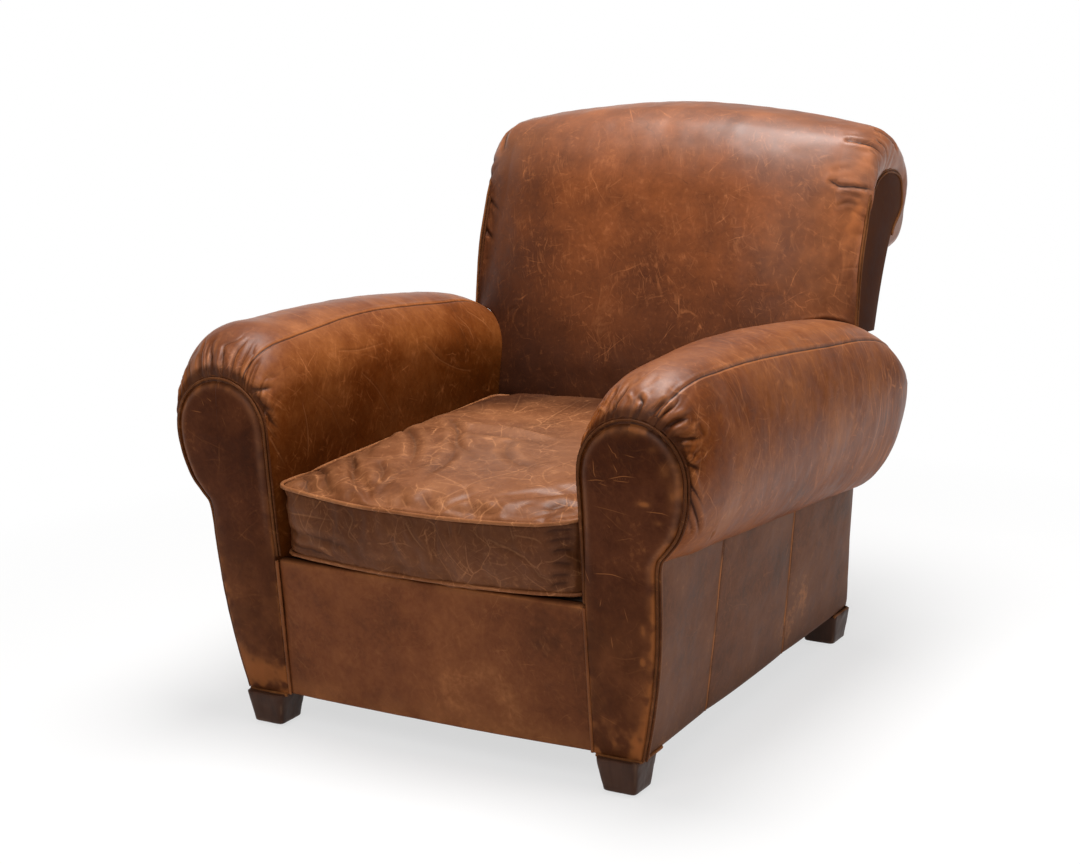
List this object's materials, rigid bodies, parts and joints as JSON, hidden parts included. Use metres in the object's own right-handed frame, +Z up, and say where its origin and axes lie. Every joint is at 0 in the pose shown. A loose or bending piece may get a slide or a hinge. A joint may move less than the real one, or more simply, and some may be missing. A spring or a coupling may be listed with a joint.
{
  "type": "club chair",
  "caption": "Worn brown leather club chair: big rolled arms with piped front panels, a raked back that rolls over behind, a loose box cushion and low tapered block legs.",
  "frame": {"origin": "on the floor, under the middle of the chair in plan", "axes": "+Z up, -Y towards the front of the seat, +X towards the side called right, which is on the right when the chair is looked at from its front"},
  "size_m": [0.943, 1.031, 0.928],
  "materials": {
    "cushion_leather": "worn semi-gloss, creased and cracked",
    "arm_leather": "worn semi-gloss, stretched and scuffed",
    "back_leather": "worn semi-gloss, mottled",
    "rail_leather": "worn semi-gloss, scuffed",
    "panel_leather": "darker, semi-gloss, scratched",
    "leg_wood": "dark stain, satin",
    "timber": "sawn, unfinished",
    "steel": "plain",
    "nylon": "moulded",
    "deck_cloth": "woven, matt",
    "dust_cloth": "spun, matt"
  },
  "bodies": {
    "root": {"arm_board_left": "timber", "arm_board_right": "timber", "arm_front_panel_left": "panel_leather", "arm_front_panel_right": "panel_leather", "arm_pad_left": "arm_leather", "arm_pad_right": "arm_leather", "arm_stump_left": "timber", "arm_stump_right": "timber", "back_end_panel_left": "panel_leather", "back_end_panel_right": "panel_leather", "back_lower_rail": "timber", "back_post_left": "timber", "back_post_right": "timber", "back_top_rail": "timber", "corner_block_front_left": "timber", "corner_block_front_right": "timber", "corner_block_rear_left": "timber", "corner_block_rear_right": "timber", "dust_cover": "dust_cloth", "front_rail": "timber", "front_rail_cover": "rail_leather", "glide_front_left": "nylon", "glide_front_right": "nylon", "glide_rear_left": "nylon", "glide_rear_right": "nylon", "inside_back": "back_leather", "leg_bolt_front_left": "steel", "leg_bolt_front_right": "steel", "leg_bolt_rear_left": "steel", "leg_bolt_rear_right": "steel", "leg_front_left": "leg_wood", "leg_front_right": "leg_wood", "leg_rear_left": "leg_wood", "leg_rear_right": "leg_wood", "outside_back": "panel_leather", "rear_rail": "timber", "seat_cushion": "cushion_leather", "seat_deck": "deck_cloth", "seat_spring_1": "steel", "seat_spring_2": "steel", "seat_spring_3": "steel", "seat_spring_4": "steel", "seat_spring_5": "steel", "side_cover_left": "panel_leather", "side_cover_right": "panel_leather", "side_rail_left": "timber", "side_rail_right": "timber"}
  },
  "joints": []
}
